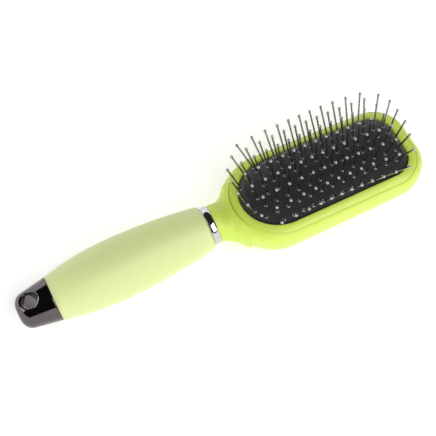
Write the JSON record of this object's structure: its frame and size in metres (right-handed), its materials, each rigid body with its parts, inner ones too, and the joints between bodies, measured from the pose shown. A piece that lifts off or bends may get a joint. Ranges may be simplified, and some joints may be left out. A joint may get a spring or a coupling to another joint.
{
  "type": "pet grooming pin brush",
  "caption": "Oval-headed pet brush with ball-tipped metal pins in a sprung air cushion, a lime head, a plated collar and a thick gel grip with a hanging hole.",
  "frame": {"origin": "under the middle of the brush's length and width, on the plane that the head's back and the grip's belly lie on", "axes": "+X along the brush towards the tip of the head, +Y across it, +Z out of the pins"},
  "size_m": [0.225, 0.054, 0.0503],
  "materials": {
    "lime_plastic": "satin moulded",
    "plating": "polished plating",
    "gel": "translucent milky gel, satin",
    "dark_plating": "polished black nickel",
    "pad_rubber": "matt",
    "woven_cloth": "plain weave",
    "pin_steel": "polished wire"
  },
  "bodies": {
    "brush": {"head_shell": "lime_plastic", "front_frame": "lime_plastic", "collar_ring": "plating", "gel_sleeve": "gel", "end_cap": "dark_plating"},
    "cushion": {"cushion_pad": "pad_rubber", "cushion_cloth": "woven_cloth"},
    "pins_1": {"pin_row_1": "pin_steel"},
    "pins_2": {"pin_row_2": "pin_steel"},
    "pins_3": {"pin_row_3": "pin_steel"},
    "pins_4": {"pin_row_4": "pin_steel"},
    "pins_5": {"pin_row_5": "pin_steel"},
    "pins_6": {"pin_row_6": "pin_steel"},
    "pins_7": {"pin_row_7": "pin_steel"},
    "pins_8": {"pin_row_8": "pin_steel"}
  },
  "joints": [
    {"name": "cushion_press", "type": "slide", "parent": "brush", "child": "cushion", "axis": [0, 0, -1], "range_m": [0, 0.0015], "stiffness_N_per_m": 2500, "springref_m": -0.0003, "deforming": ["cushion_pad", "cushion_cloth"]},
    {"name": "row_1_lean", "type": "hinge", "parent": "cushion", "child": "pins_1", "pos_m": [0.0588, -0.01788, 0.02606], "axis": [1, 0, 0], "range_deg": [-5, 5], "stiffness_Nm_per_rad": 0.006},
    {"name": "row_2_lean", "type": "hinge", "parent": "cushion", "child": "pins_2", "pos_m": [0.0588, -0.01305, 0.02826], "axis": [1, 0, 0], "range_deg": [-5, 5], "stiffness_Nm_per_rad": 0.006},
    {"name": "row_3_lean", "type": "hinge", "parent": "cushion", "child": "pins_3", "pos_m": [0.0588, -0.00795, 0.02975], "axis": [1, 0, 0], "range_deg": [-5, 5], "stiffness_Nm_per_rad": 0.006},
    {"name": "row_4_lean", "type": "hinge", "parent": "cushion", "child": "pins_4", "pos_m": [0.0588, -0.00267, 0.03051], "axis": [1, 0, 0], "range_deg": [-5, 5], "stiffness_Nm_per_rad": 0.006},
    {"name": "row_5_lean", "type": "hinge", "parent": "cushion", "child": "pins_5", "pos_m": [0.0588, 0.00267, 0.03051], "axis": [1, 0, 0], "range_deg": [-5, 5], "stiffness_Nm_per_rad": 0.006},
    {"name": "row_6_lean", "type": "hinge", "parent": "cushion", "child": "pins_6", "pos_m": [0.0588, 0.00795, 0.02975], "axis": [1, 0, 0], "range_deg": [-5, 5], "stiffness_Nm_per_rad": 0.006},
    {"name": "row_7_lean", "type": "hinge", "parent": "cushion", "child": "pins_7", "pos_m": [0.0588, 0.01305, 0.02826], "axis": [1, 0, 0], "range_deg": [-5, 5], "stiffness_Nm_per_rad": 0.006},
    {"name": "row_8_lean", "type": "hinge", "parent": "cushion", "child": "pins_8", "pos_m": [0.0588, 0.01788, 0.02606], "axis": [1, 0, 0], "range_deg": [-5, 5], "stiffness_Nm_per_rad": 0.006}
  ],
  "couplings": [
    {"joint": "row_1_lean", "follows": "row_4_lean", "ratio": 1},
    {"joint": "row_2_lean", "follows": "row_4_lean", "ratio": 1},
    {"joint": "row_3_lean", "follows": "row_4_lean", "ratio": 1},
    {"joint": "row_5_lean", "follows": "row_4_lean", "ratio": 1},
    {"joint": "row_6_lean", "follows": "row_4_lean", "ratio": 1},
    {"joint": "row_7_lean", "follows": "row_4_lean", "ratio": 1},
    {"joint": "row_8_lean", "follows": "row_4_lean", "ratio": 1}
  ]
}
